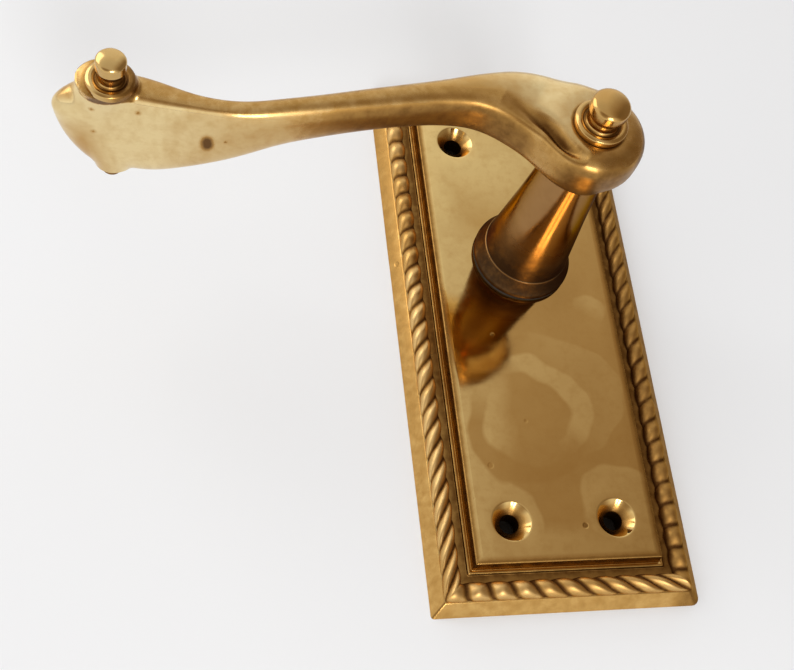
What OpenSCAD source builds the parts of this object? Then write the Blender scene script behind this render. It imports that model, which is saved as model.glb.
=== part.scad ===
// Door lever handle: a scroll lever on a rope-edged latch backplate.
// Origin: on the spindle axis, at the back face that lies against the door.
// +X points away from the lever's free end, +Y up the door, +Z out of the door.

/* [Backplate] */
// Width of the backplate across the door
plate_w = 60; // [54:0.5:70]
// Height of the backplate on the door
plate_len = 132; // [124:1:150]
// Height of the spindle axis above the middle of the backplate
spindle_rise = 16; // [12:0.5:18]
// Height of the land that carries the rope edge
land_h = 2.8; // [2.4:0.1:3.2]
// Height of the flat panel's face above the door
panel_h = 6.2; // [5.8:0.1:7.5]
// Thickness of the panel over the hollow back
panel_t = 2.2; // [1.8:0.1:2.6]
// How far the sloped outer edge runs in
edge_run = 2.4; // [1.6:0.1:2.8]
// Width of the rope moulding
rope_w = 4.2; // [3.4:0.1:5]
// Width of the groove inside the rope
groove_w = 1.4; // [1:0.1:2]
// Width of the thin bead at the foot of the panel
bead_w = 0.6; // [0.4:0.1:1.2]
// Height of that bead above the land
bead_h = 0.5; // [0.3:0.1:0.8]
// How far the panel's side leans in
panel_run = 0.7; // [0.3:0.1:1.2]
// Height of the rope's crown above the land
rope_h = 2.2; // [1.6:0.1:2.8]
// Length of one rope strand along the edge
strand_pitch = 5; // [4:0.1:7]

/* [Fixing holes] */
// Hole spacing across the plate
hole_span_x = 23.5; // [21:0.5:27]
// Hole spacing along the plate
hole_span_y = 95.5; // [92:0.5:98]
// Diameter of the screw holes
hole_d = 4.2; // [3.6:0.1:5]
// Diameter of the countersinks at the panel's face
csk_d = 8.6; // [7.4:0.1:9.4]

/* [Lever] */
// Distance from the spindle axis to the scroll's axis
lever_reach = 94.3; // [84:0.1:110]
// Height of the scroll's axis above the spindle axis
scroll_rise = 5.5; // [2:0.5:9]
// Height of the arm's front edge above the door
arm_face = 58.2; // [54:0.2:64]
// Height of the arm at its waist
waist_h = 6.8; // [6:0.1:9]
// Depth of the arm at its waist
waist_d = 9; // [8:0.1:11]
// Depth of the arm at the scroll
grip_d = 24; // [20:0.5:25]
// How far the arm's front edge drops back at the scroll
scroll_drop = 2; // [0.6:0.1:3]
// Diameter of the hub drum
hub_d = 21.4; // [20:0.1:24]
// Thickness of the hub drum
hub_t = 12.5; // [11.5:0.1:13.5]
// Half height of the scroll halfway along its depth
scroll_half = 4.6; // [4.2:0.1:5.4]
// Height of the collar under the front scroll button
collar_h = 1; // [0.6:0.1:1.6]

/* [Neck] */
// Diameter of the neck's flared foot
foot_d = 23; // [22:0.1:26]
// Height of the flared foot
foot_h = 4.7; // [4:0.1:5.6]
// Diameter at the top of the flared foot
foot_top_d = 19.3; // [19:0.1:21]
// Diameter at the bottom of the neck
neck_low_d = 18.8; // [18:0.1:20]
// Diameter at the top of the neck
neck_top_d = 12.8; // [12.4:0.1:13.4]
// Diameter of the journal that turns in the bush
journal_d = 17; // [16.2:0.1:17.4]
// Diameter of the tail behind the panel
tail_d = 15; // [14.4:0.1:15.4]
// Width across the two flats of the tail
tail_flats = 13.4; // [13:0.1:13.8]
// Width of the square spindle socket
socket_w = 8.1; // [7.1:0.1:8.4]
// Depth of the spindle socket from the tail's end
socket_depth = 33; // [24:1:36]
// Width of the square spigot that holds the arm
spigot_w = 8.4; // [7.6:0.1:8.6]

/* [Buttons] */
// Diameter of the hub button's head
hub_head_d = 8; // [6:0.1:8.4]
// Height of the hub button above the hub's face
hub_button_h = 7.8; // [7:0.1:9.5]
// Diameter of the hub button's ring
hub_base_d = 11; // [10:0.1:13]
// Diameter of the hub button's screw
hub_screw_d = 5; // [4:0.1:5.4]
// Diameter of the front scroll button's head
scroll_head_d = 5.7; // [4.8:0.1:6.6]
// Height of the front scroll button above the scroll's face
scroll_button_h = 7.2; // [6.4:0.1:9]
// Diameter of the front scroll button's ring
scroll_base_d = 9.2; // [9:0.1:10.4]
// Diameter of the back scroll button
nub_d = 4; // [3.4:0.1:4.2]
// How far the back scroll button stands out of the scroll
nub_h = 2.6; // [2:0.1:4]
// Diameter of the shanks of both scroll buttons
shank_d = 2.6; // [2:0.1:2.8]

/* [Spring case] */
// Diameter of the round spring chamber
chamber_d = 31; // [30:0.2:32]
// Thickness of the cover plate
cover_t = 1.2; // [1:0.1:1.4]
// Diameter of the cover plate
cover_d = 34; // [33:0.2:35]
// Distance of the cover's screws from the spindle axis
cover_screw_r = 21.5; // [20.8:0.1:23]
// Diameter of the cover's screws
cover_screw_d = 2.5; // [2:0.1:3]
// Outer diameter of the bush
bush_d = 21; // [20:0.1:22]
// Diameter of the bush's flange
bush_flange_d = 22.6; // [22.2:0.1:24]
// Thickness of the bush's flange
bush_flange_t = 0.5; // [0.4:0.1:0.8]
// Thickness of the friction washer
friction_t = 0.4; // [0.3:0.1:0.5]
// Thickness of the drive washer
drive_t = 1.1; // [0.9:0.1:1.2]
// Thickness of the circlip
clip_t = 0.9; // [0.7:0.1:1]
// Width of the return spring's strip
strip_w = 0.9; // [0.6:0.1:1]
// Thickness of the return spring's strip
strip_t = 0.8; // [0.6:0.1:0.9]
// Turns of the return spring
spring_turns = 2; // [1.5:0.25:2.25]

/* [Motion] */
// How far the lever turns down, in degrees
lever_travel = 45; // [30:1:50]

/* [Hidden] */

// Clearances
run_gap = 0.05;      // radial gap of a turning fit
slip_gap = 0.03;     // gap of parts that are pushed together and stay
loose_gap = 0.3;     // gap round parts that clear each other
cut = 0.5;           // how far a cutting shape stands proud of a face
merge = 0.1;         // how far joined shapes run into each other
soft = 0.2;          // size of the small broken edges of turned parts

// Heights above the door, from the back to the front
web_z = panel_h - panel_t;
drive_top_z = web_z - friction_t - 2 * run_gap;
drive_z = drive_top_z - drive_t;
clip_z = drive_z - clip_t;
tail_z = clip_z - 0.8;
foot_z = panel_h + bush_flange_t + run_gap;
hub_face_z = arm_face + 0.3;
hub_back_z = hub_face_z - hub_t;
scroll_front_z = arm_face - scroll_drop;
scroll_face_z = scroll_front_z + collar_h;
scroll_back_z = scroll_front_z - grip_d - 0.6;

// Backplate
plate_mid_y = -spindle_rise;
bead_in = edge_run + rope_w + groove_w;
panel_wall_in = bead_in + bead_w;
wall_t = 2;
recess_w = plate_w - 2 * (panel_wall_in + wall_t);
recess_len = plate_len - 2 * (panel_wall_in + wall_t);
recess_r = 4;
screw_boss_d = csk_d + 2.4;
cover_seat_d = cover_d + 2 * loose_gap;
chamber_boss_d = cover_seat_d + 4;
cover_head_d = 2 * cover_screw_d - 0.4;
driver_w = 0.6;      // width of the cross cut in the cover screws' heads
driver_deep = 0.6;
cover_ear_d = cover_head_d + 2.6;
cover_boss_d = cover_ear_d + 2 * loose_gap + 2;
pilot_d = cover_screw_d - 0.5;
pilot_z = web_z - 0.4;

// Rope edge
rope_in = edge_run + rope_w / 2;
rope_steps = 4;      // rings for each strand
rope_sides = 6;      // faces across the rope's crown
valley = 0.3;        // depth of the grooves between strands, as a share of the radius

// Stops and spring anchors
lug_angle = 90;
lug_half = 10;
lug_r = chamber_d / 2 - 1.3;
lug_root_r = tail_d / 2 + 2;
stop_d = 2.6;
stop_r = 12.5;
stop_half = asin(stop_d / 2 / stop_r) + 0.7;
stop_z = drive_z + soft / 2;
anchor_d = 1.8;
anchor_r = chamber_d / 2 - 0.6;
clip_r = tail_d / 2 + 1.4;
groove_r = tail_d / 2 - 0.7;
clip_open = 60;
spring_in_r = clip_r + 0.9;
spring_out_r = anchor_r - anchor_d / 2 - 0.3;
spring_z = drive_z - 0.1 - strip_w;
tang_w = 2;

// Scroll
collar_d = scroll_base_d + 0.8;
collar_side = 1.4;   // how far the collar's middle is off the button's axis
nose_side = 0.9;     // how far the nose behind the scroll is off it, the other way
nose_h = 5;
shank_len = 9;
nub_shank_len = 6;
nub_shank_d = shank_d - 0.6;

// Lever arm: rows at equal steps from the scroll's axis to just past the hub's axis.
// [sway above the straight line between the two axes, half height as a share of
//  the waist's, flare of the depth from waist (0) to grip (1), taper to the back,
//  squareness: 2 is an ellipse, more is squarer]
ARM_ROWS = [
    [0.6, scroll_half * 2 / waist_h, 1.00, 0.25, 3.2],
    [-0.2, 1.22, 0.90, 0.22, 3.2],
    [-2.2, 0.83, 0.60, 0.12, 3.0],
    [-2.9, 0.82, 0.34, 0.05, 2.7],
    [-1.6, 0.89, 0.15, 0, 2.4],
    [0.1, 0.90, 0.06, 0, 2.4],
    [2.0, 0.96, 0.01, 0, 2.4],
    [3.9, 1.02, 0, 0, 2.4],
    [5.7, 1.06, 0.02, 0, 2.5],
    [7.0, 1.39, 0.06, 0, 2.8],
    [5.9, 2.29, 0.11, 0, 3.1],
    [2.2, 3.18, 0.15, 0, 4],
    [0.1, 2.94, 0.15, 0, 4]
];
// Centre line of the crease that curls out of the hub's face, with half widths
CREASE = [[-3.4, -7, 0.1], [-6, -5.2, 0.6], [-8, -2.6, 0.9], [-10.2, 0, 1],
    [-13.5, 2.7, 0.8], [-16.4, 4.9, 0.5], [-19, 6.4, 0.1]];
crease_deep = 1.8;
arm_root_share = -0.021;  // share of the reach where the arm ends inside the hub
arm_fill = 4;             // rings for each row
arm_sides = 24;
scroll_steps = 20;         // rings round the scroll's end

round_fn = 96;

// ---- Shared shapes ----

// Block with all four sides leaning in by run over its height
module sloped_block(w, l, h, run) {
    intersection() {
        rotate([90, 0, 0])
            linear_extrude(l, center = true)
                polygon([[-w / 2, 0], [w / 2, 0], [w / 2 - run, h], [run - w / 2, h]]);
        rotate([90, 0, 90])
            linear_extrude(w, center = true)
                polygon([[-l / 2, 0], [l / 2, 0], [l / 2 - run, h], [run - l / 2, h]]);
    }
}

// Upright block with round corners
module round_block(w, l, h, r) {
    linear_extrude(h) {
        square([w - 2 * r, l], center = true);
        square([w, l - 2 * r], center = true);
        for (x = [-1, 1], y = [-1, 1])
            translate([x * (w / 2 - r), y * (l / 2 - r)])
                circle(r, $fn = 32);
    }
}

module at_fixing_holes() {
    for (x = [-1, 1], y = [-1, 1])
        translate([x * hole_span_x / 2, plate_mid_y + y * hole_span_y / 2, 0])
            children();
}

module at_cover_screws() {
    for (y = [-1, 1])
        translate([0, y * cover_screw_r, 0])
            children();
}

module ring(r_in, r_out, h) {
    difference() {
        cylinder(h, r = r_out, $fn = round_fn);
        translate([0, 0, -cut])
            cylinder(h + 2 * cut, r = r_in, $fn = round_fn);
    }
}

// Outline of the cover: a disc with two eared straps
module cover_outline(gap) {
    circle(cover_d / 2 + gap, $fn = round_fn);
    square([cover_ear_d + 2 * gap, 2 * cover_screw_r], center = true);
    at_cover_screws()
        circle(cover_ear_d / 2 + gap, $fn = 48);
}

// Outline of the tail: a disc with two flats
module tail_outline(gap) {
    intersection() {
        circle(tail_d / 2 + gap, $fn = round_fn);
        square([tail_flats + 2 * gap, tail_d + 2], center = true);
    }
}

// ---- Fixed parts ----

module backplate() {
    color("#b08a45")
        difference() {
            union() {
                difference() {
                    translate([0, plate_mid_y, 0])
                        plate_blank();
                    translate([0, plate_mid_y, -cut])
                        round_block(recess_w, recess_len, web_z + cut, recess_r);
                }
                at_fixing_holes()
                    cylinder(web_z + merge, d = screw_boss_d, $fn = 64);
                cylinder(web_z + merge, d = chamber_boss_d, $fn = round_fn);
                at_cover_screws()
                    cylinder(web_z + merge, d = cover_boss_d, $fn = 48);
            }
            at_fixing_holes()
                fixing_hole();
            spring_chamber();
            translate([0, 0, -cut])
                cylinder(panel_h + 2 * cut, r = bush_d / 2 + slip_gap, $fn = round_fn);
            at_cover_screws()
                translate([0, 0, -cut])
                    cylinder(pilot_z + cut, d = pilot_d, $fn = 32);
        }
}

// Sloped land, bead and raised panel, without the hollow back
module plate_blank() {
    sloped_block(plate_w, plate_len, land_h, edge_run);
    sloped_block(plate_w - 2 * bead_in, plate_len - 2 * bead_in, land_h + bead_h, 0.1);
    sloped_block(plate_w - 2 * panel_wall_in, plate_len - 2 * panel_wall_in, panel_h, panel_run);
}

module fixing_hole() {
    csk_depth = (csk_d - hole_d) / 2;
    translate([0, 0, -cut])
        cylinder(panel_h + 2 * cut, d = hole_d, $fn = 48);
    translate([0, 0, panel_h - csk_depth])
        cylinder(csk_depth, d1 = hole_d, d2 = csk_d, $fn = 64);
    translate([0, 0, panel_h])
        cylinder(cut, d = csk_d, $fn = 64);
}

// Chamber with its two stop posts and the spring's anchor post left standing
module spring_chamber() {
    difference() {
        translate([0, 0, -cut])
            cylinder(web_z + cut, d = chamber_d, $fn = round_fn);
        for (a = [lug_angle - lug_half - stop_half, lug_angle + lug_half + stop_half + lever_travel])
            rotate([0, 0, a])
                translate([stop_r, 0, stop_z])
                    cylinder(web_z, d = stop_d, $fn = 32);
        rotate([0, 0, lug_angle])
            translate([-anchor_r, 0, cover_t + merge])
                cylinder(web_z, d = anchor_d, $fn = 32);
    }
    translate([0, 0, -cut])
        linear_extrude(cover_t + cut)
            cover_outline(loose_gap);
}

// Point on the rope: side of the plate, share along the side, angle over the crown
function rope_point(side, share, a) =
    let (
        long = side % 2 == 1,
        half_along = (long ? plate_len : plate_w) / 2 - rope_in,
        half_across = (long ? plate_w : plate_len) / 2 - rope_in,
        strands = round(2 * half_along / strand_pitch),
        phase = 180 * (strands * share + a / 180),
        swell = 1 - valley * pow(1 - abs(sin(phase)), 1.6) * sin(a),
        out = rope_w / 2 * cos(a) * (a % 180 == 0 ? 1 : swell),
        along = (2 * share - 1) * (half_along + out),
        turn = 90 * side
    )
    [
        along * cos(turn) + (half_across + out) * sin(turn),
        along * sin(turn) - (half_across + out) * cos(turn),
        land_h + rope_h * sin(a) * swell
    ];

module rope_edge() {
    strand_counts = [for (side = [0:3])
        round(2 * ((side % 2 == 1 ? plate_len : plate_w) / 2 - rope_in) / strand_pitch)];
    rings = [for (side = [0:3]) for (i = [0:strand_counts[side] * rope_steps - 1])
        [for (k = [0:rope_sides])
            rope_point(side, i / (strand_counts[side] * rope_steps), 180 * k / rope_sides)]];
    color("#b89250")
        translate([0, plate_mid_y, 0])
            swept_loop(rings);
}

// Closed loop through rings of points
module swept_loop(rings) {
    n = len(rings);
    m = len(rings[0]);
    polyhedron(
        [for (r = rings) each r],
        [for (i = [0:n - 1], k = [0:m - 1])
            let (next = (i + 1) % n, kk = (k + 1) % m)
            each [[i * m + k, next * m + k, next * m + kk], [i * m + k, next * m + kk, i * m + kk]]]
    );
}

module bush() {
    color("#2b2825") {
        translate([0, 0, web_z])
            ring(journal_d / 2 + run_gap, bush_d / 2, panel_t);
        translate([0, 0, panel_h])
            ring(journal_d / 2 + run_gap, bush_flange_d / 2, bush_flange_t);
    }
}

module friction_washer() {
    color("#2b2825")
        translate([0, 0, web_z - friction_t - run_gap])
            ring(journal_d / 2 + 2 * run_gap, stop_r - stop_d / 2 - 0.2, friction_t);
}

// Flat spiral between the drive washer's tang and the anchor post
module return_spring() {
    steps = 28 * spring_turns;
    start_angle = lug_angle + asin(tang_w / 2 / spring_in_r) + 1.2;
    sweep = lug_angle + 180 - start_angle + 360 * spring_turns;
    function spiral_r(t) = spring_in_r + (spring_out_r - strip_t - spring_in_r) * t;
    function spiral_a(t) = start_angle + sweep * t;
    inner = [for (i = [0:steps]) let (t = i / steps) spiral_r(t) * [cos(spiral_a(t)), sin(spiral_a(t))]];
    outer = [for (i = [steps:-1:0])
        let (t = i / steps) (spiral_r(t) + strip_t) * [cos(spiral_a(t)), sin(spiral_a(t))]];
    color("#6c6f74")
        translate([0, 0, spring_z])
            linear_extrude(strip_w)
                polygon(concat(inner, outer));
}

module cover_plate() {
    color("#9a9da1")
        difference() {
            linear_extrude(cover_t)
                cover_outline(0);
            translate([0, 0, -cut])
                cylinder(cover_t + 2 * cut, r = tail_d / 2 + 2 * loose_gap, $fn = round_fn);
            at_cover_screws()
                cover_screw_shape(slip_gap, cut);
        }
}

// Countersunk screw from the door side, with its head flush with the cover
module cover_screw_shape(gap, proud) {
    head_t = (cover_head_d - cover_screw_d) / 2;
    translate([0, 0, -proud])
        cylinder(proud + merge, d = cover_head_d + 2 * gap, $fn = 48);
    translate([0, 0, merge])
        cylinder(head_t, d1 = cover_head_d + 2 * gap, d2 = cover_screw_d + 2 * gap, $fn = 48);
    cylinder(cover_t + proud, d = cover_screw_d + 2 * gap, $fn = 48);
}

module cover_screws() {
    color("#8a8d92")
        at_cover_screws()
            difference() {
                union() {
                    cover_screw_shape(0, 0);
                    translate([0, 0, cover_t])
                        cylinder(pilot_z - cover_t - soft, d = pilot_d - 2 * slip_gap, $fn = 32);
                }
                for (a = [0, 90])
                    rotate([0, 0, a])
                        translate([0, 0, driver_deep / 2 - cut / 2])
                            cube([driver_w, 0.6 * cover_head_d, driver_deep + cut], center = true);
            }
}

// ---- Parts that turn with the lever ----

module neck() {
    tail_len = drive_top_z - tail_z;
    color("#b5883f")
        difference() {
            union() {
                translate([0, 0, tail_z])
                    linear_extrude(tail_len)
                        tail_outline(0);
                rotate_extrude($fn = round_fn)
                    neck_profile();
                translate([-spigot_w / 2, -spigot_w / 2, hub_back_z - 1])
                    cube([spigot_w, spigot_w, hub_t - 2.6]);
            }
            translate([0, 0, clip_z])
                ring(groove_r, tail_d, clip_t);
            translate([-socket_w / 2, -socket_w / 2, tail_z - cut])
                cube([socket_w, socket_w, socket_depth + cut]);
            translate([0, 0, hub_back_z])
                cylinder(hub_t, r = hub_screw_d / 2 + slip_gap, $fn = 48);
        }
}

// Half section of the turned neck, from the journal to the hub's back
module neck_profile() {
    foot_r = foot_d / 2;
    flare = foot_r - foot_top_d / 2;
    low_r = neck_low_d / 2;
    band_h = 1.2;
    skirt_bow = 1.6;
    foot_top = foot_z + foot_h;
    polygon(concat(
        [[0, drive_top_z], [journal_d / 2, drive_top_z], [journal_d / 2, foot_z]],
        [[foot_r - 2 * soft, foot_z], [foot_r, foot_z + 2 * soft]],
        [for (t = [0:0.2:1])
            [foot_r - flare * pow(t, skirt_bow), foot_z + band_h + (foot_h - band_h) * t]],
        [[low_r, foot_top + soft], [neck_top_d / 2, hub_back_z - 1], [neck_top_d / 2, hub_back_z], [0, hub_back_z]]
    ));
}

module drive_washer() {
    color("#7d8085") {
        translate([0, 0, drive_z])
            linear_extrude(drive_t)
                difference() {
                    union() {
                        circle(lug_root_r + 0.6, $fn = round_fn);
                        lug_outline();
                    }
                    tail_outline(slip_gap);
                }
        rotate([0, 0, lug_angle])
            translate([lug_root_r, -tang_w / 2, spring_z])
                cube([0.6, tang_w, drive_z - spring_z + 0.2]);
    }
}

module lug_outline() {
    polygon(concat(
        [[0, 0]],
        [for (a = [lug_angle - lug_half:lug_half / 4:lug_angle + lug_half]) lug_r * [cos(a), sin(a)]]
    ));
}

module circlip() {
    gap_edge = clip_open / 2;
    color("#5f6368")
        translate([0, 0, clip_z]) {
            rotate([0, 0, gap_edge - 90])
                rotate_extrude(angle = 360 - clip_open, $fn = round_fn)
                    translate([groove_r, 0])
                        square([clip_r - groove_r, clip_t]);
        }
}

// Catmull-Rom value between the rows, column c, at position t in rows
function row_value(t, c) =
    let (
        last = len(ARM_ROWS) - 1,
        i = min(floor(t), last - 1),
        f = t - i,
        p0 = ARM_ROWS[abs(i - 1)][c],
        p1 = ARM_ROWS[i][c],
        p2 = ARM_ROWS[i + 1][c],
        p3 = ARM_ROWS[min(i + 2, last)][c]
    )
    p1 + 0.5 * f * (p2 - p0 + f * (2 * p0 - 5 * p1 + 4 * p2 - p3 + f * (3 * (p1 - p2) + p3 - p0)));

function signed_pow(v, e) = sign(v) * pow(abs(v), e);

// Section of the arm at position t in rows, as [height off the middle, z]
function arm_section(t) =
    let (
        half_h = waist_h / 2 * row_value(t, 1),
        flare = row_value(t, 2),
        half_d = (waist_d + (grip_d - waist_d) * flare) / 2,
        mid_z = arm_face - scroll_drop * flare - half_d,
        taper = row_value(t, 3),
        power = 2 / row_value(t, 4)
    )
    [for (k = [0:arm_sides - 1])
        let (a = 360 * k / arm_sides)
        [
            half_h * signed_pow(sin(a), power) * (1 + taper * cos(a)),
            mid_z + half_d * signed_pow(cos(a), power)
        ]];

// One ring of the arm, at position t in rows
function arm_ring(t) =
    let (
        share = 1 - (1 - arm_root_share) * t / (len(ARM_ROWS) - 1),
        mid_y = scroll_rise * share + row_value(t, 0)
    )
    [for (p = arm_section(t)) [-lever_reach * share, mid_y + p[0], p[1]]];

// Point on the round end of the scroll: the end section's point k turned by share of a half turn,
// with the middle of its depth swelling out furthest
function scroll_point(share, k) =
    let (
        p = arm_section(0)[k],
        a = 90 + 180 * share,
        v = 2 * (p[1] - scroll_front_z) / grip_d + 1,
        swell = max(0.8, 2.1 + 0.86 * v - 1.46 * v * v)
    )
    [-lever_reach + swell * p[0] * cos(a), scroll_rise + row_value(0, 0) + p[0] * sin(a), p[1]];

// The arm's rings from the scroll's axis to the hub, closed by the scroll's round end
module arm_sweep() {
    m = arm_sides;
    half = m / 2;
    last = (len(ARM_ROWS) - 1) * arm_fill;
    base = (last + 1) * m;
    function end_index(j, k) =
        k == 0 || j == 0 ? k
        : k == half || j == scroll_steps ? m - k
        : base + (j - 1) * (half - 1) + k - 1;
    rings = [for (i = [0:last]) arm_ring(i / arm_fill)];
    end_points = [for (j = [1:scroll_steps - 1], k = [1:half - 1]) scroll_point(j / scroll_steps, k)];
    arm_faces = [for (i = [0:last - 1], k = [0:m - 1])
        let (kk = (k + 1) % m)
        each [[i * m + k, (i + 1) * m + kk, (i + 1) * m + k], [i * m + k, i * m + kk, (i + 1) * m + kk]]];
    end_faces = [for (j = [0:scroll_steps - 1], k = [0:half - 2])
        [end_index(j, k), end_index(j + 1, k + 1), end_index(j, k + 1)]];
    more_end_faces = [for (j = [0:scroll_steps - 1], k = [1:half - 1])
        [end_index(j, k), end_index(j + 1, k), end_index(j + 1, k + 1)]];
    polyhedron(
        concat([for (r = rings) each r], end_points),
        concat([[for (k = [0:m - 1]) last * m + k]], arm_faces, end_faces, more_end_faces)
    );
}

// Half section of the hub drum
module hub_profile() {
    mid_z = (hub_face_z + hub_back_z) / 2;
    polygon(concat(
        [[0, hub_back_z]],
        [for (v = [-1:0.125:0.875]) [hub_d / 2 * (1 - (v > 0 ? 0.16 : 0.36) * v * v), mid_z + v * hub_t / 2]],
        [[hub_d / 2 * 0.8, hub_face_z], [0, hub_face_z]]
    ));
}

// Nose behind the scroll and collar in front of it
module scroll_seats() {
    translate([nose_side, 0, scroll_back_z])
        cylinder(nose_h, d1 = nub_d + 2 * soft, d2 = 1.5 * nub_d, $fn = 48);
    translate([-collar_side, 0, scroll_face_z - 2 * collar_h])
        cylinder(2 * collar_h, d1 = collar_d + collar_h, d2 = collar_d, $fn = round_fn);
}

// Groove that parts the hub's curl from the flank of the arm
module crease_groove() {
    n = len(CREASE);
    function edge(i, s) =
        let (
            p = CREASE[max(i - 1, 0)],
            q = CREASE[min(i + 1, n - 1)],
            d = [q[0] - p[0], q[1] - p[1]]
        )
        [CREASE[i][0], CREASE[i][1]] + s * CREASE[i][2] / norm(d) * [-d[1], d[0]];
    translate([0, 0, hub_face_z - crease_deep])
        linear_extrude(crease_deep + cut)
            polygon(concat([for (i = [0:n - 1]) edge(i, 1)], [for (i = [n - 1:-1:0]) edge(i, -1)]));
}

module at_scroll() {
    translate([-lever_reach, scroll_rise, 0])
        children();
}

module lever_arm() {
    spigot_gap = spigot_w + 2 * slip_gap;
    color("#b58c42")
        difference() {
            union() {
                arm_sweep();
                rotate_extrude($fn = round_fn)
                    hub_profile();
                at_scroll()
                    scroll_seats();
            }
            translate([-spigot_gap / 2, -spigot_gap / 2, hub_back_z - cut])
                cube([spigot_gap, spigot_gap, hub_t - 3.5 + cut]);
            translate([0, 0, hub_back_z])
                cylinder(hub_t + cut, r = hub_screw_d / 2 + slip_gap, $fn = 48);
            crease_groove();
            at_scroll() {
                translate([0, 0, scroll_face_z - shank_len - soft])
                    cylinder(shank_len + soft + cut, r = shank_d / 2 + slip_gap, $fn = 32);
                translate([nose_side, 0, scroll_back_z - cut])
                    cylinder(nub_shank_len + soft + cut, r = nub_shank_d / 2 + slip_gap, $fn = 32);
            }
        }
}

// Half section of a button: a ring, a waisted post and a domed head, from height 0
module button_profile(head_d, base_d, total_h, screw_d, screw_len) {
    ring_h = 0.22 * total_h;
    head_z = 0.58 * total_h;
    head_r = head_d / 2;
    base_r = base_d / 2;
    post_r = 0.82 * head_r;
    dip_r = post_r + 2 * soft;
    dome_h = 0.3 * head_r;
    rim_z = total_h - dome_h;
    polygon(concat(
        [[0, -screw_len], [screw_d / 2, -screw_len], [screw_d / 2, 0], [base_r - soft, 0]],
        [[base_r, 0.35 * ring_h], [base_r - soft, 0.75 * ring_h], [base_r - 3 * soft, ring_h]],
        [[dip_r + 3 * soft, ring_h], [dip_r, 0.7 * ring_h], [post_r, ring_h]],
        [[post_r - soft, (ring_h + head_z) / 2], [post_r, head_z - soft], [head_r - soft, head_z]],
        [[head_r, head_z + soft], [head_r, rim_z - soft]],
        [for (a = [15:15:90]) [head_r * cos(a), rim_z + dome_h * sin(a)]]
    ));
}

module hub_button() {
    color("#b98f48")
        translate([0, 0, hub_face_z])
            rotate_extrude($fn = 72)
                button_profile(hub_head_d, hub_base_d, hub_button_h, hub_screw_d, hub_t - 1);
}

module scroll_front_button() {
    color("#b98f48")
        at_scroll()
            translate([0, 0, scroll_face_z])
                rotate_extrude($fn = 72)
                    button_profile(scroll_head_d, scroll_base_d, scroll_button_h, shank_d, shank_len);
}

module scroll_back_button() {
    nub_r = nub_d / 2;
    dome_h = nub_r * 0.6;
    color("#b98f48")
        at_scroll()
            translate([nose_side, 0, scroll_back_z])
                rotate_extrude($fn = 48)
                    polygon(concat(
                        [[0, nub_shank_len], [nub_shank_d / 2, nub_shank_len], [nub_shank_d / 2, 0]],
                        [[nub_r - soft, 0], [nub_r, -2 * soft], [nub_r, dome_h - nub_h]],
                        [for (a = [-18:-18:-90]) [nub_r * cos(a), dome_h - nub_h + dome_h * sin(a)]]
                    ));
}

backplate();
rope_edge();
bush();
friction_washer();
drive_washer();
circlip();
return_spring();
cover_plate();
cover_screws();
neck();
lever_arm();
hub_button();
scroll_front_button();
scroll_back_button();
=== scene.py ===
"""Door lever handle on an oblong rope-edged plate: looks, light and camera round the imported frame."""
import math

import bmesh
import bpy
import numpy as np
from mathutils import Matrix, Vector
from mathutils.geometry import delaunay_2d_cdt


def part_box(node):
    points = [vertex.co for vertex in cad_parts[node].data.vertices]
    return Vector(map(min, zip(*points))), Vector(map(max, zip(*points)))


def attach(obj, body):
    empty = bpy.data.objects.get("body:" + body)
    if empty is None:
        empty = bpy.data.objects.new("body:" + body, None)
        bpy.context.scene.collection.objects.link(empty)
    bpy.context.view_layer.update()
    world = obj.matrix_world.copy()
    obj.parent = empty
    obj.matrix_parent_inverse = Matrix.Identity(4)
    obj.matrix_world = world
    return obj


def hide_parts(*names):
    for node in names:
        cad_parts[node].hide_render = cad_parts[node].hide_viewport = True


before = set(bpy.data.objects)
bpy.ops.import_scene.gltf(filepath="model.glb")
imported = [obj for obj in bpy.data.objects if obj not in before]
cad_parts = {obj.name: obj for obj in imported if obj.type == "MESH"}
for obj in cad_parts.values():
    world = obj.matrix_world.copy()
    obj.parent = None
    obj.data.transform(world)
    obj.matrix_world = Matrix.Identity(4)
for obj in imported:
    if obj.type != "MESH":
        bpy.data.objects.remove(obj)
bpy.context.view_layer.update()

# ------------------------ sizes, in millimetres
MM = 0.001

# Backplate
PLATE_W, PLATE_LEN = 60.0, 132.0
PLATE_MID_Y = -16.0
LAND_H, PANEL_H, WEB_Z = 2.8, 6.2, 4.0
EDGE_RUN = 2.4
ROPE_W, ROPE_H, STRAND, ROPE_LEAN = 4.2, 2.2, 5.0, 0.95
GROOVE_END = EDGE_RUN + ROPE_W + 1.4
BEAD_END = GROOVE_END + 0.6
BEAD_H = 0.5
PANEL_RUN, PANEL_SOFT_RUN = 0.7, 2.9
PANEL_EDGE_IN = BEAD_END + PANEL_RUN + PANEL_SOFT_RUN
PANEL_SAG = 0.05
HOLE_X, HOLE_Y = 23.5 / 2, 95.5 / 2
HOLES = [(sx * HOLE_X, PLATE_MID_Y + sy * HOLE_Y) for sx in (-1, 1) for sy in (-1, 1)]
HOLE_R, CSK_R = 2.1, 4.3
LIP_R = CSK_R + 0.4
BUSH_R = 10.5
RECESS_IN, RECESS_R = BEAD_END + 2.0, 4.0
BOSS_R = CSK_R + 1.2
COVER_R, COVER_EAR_R, COVER_SCREW_R = 17.0, 3.6, 21.5
COVER_SEAT_GAP, COVER_T = 0.3, 1.2
CASE_WALL, EAR_WALL = 2.0, 1.0
CHAMBER_R = 15.5

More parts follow.
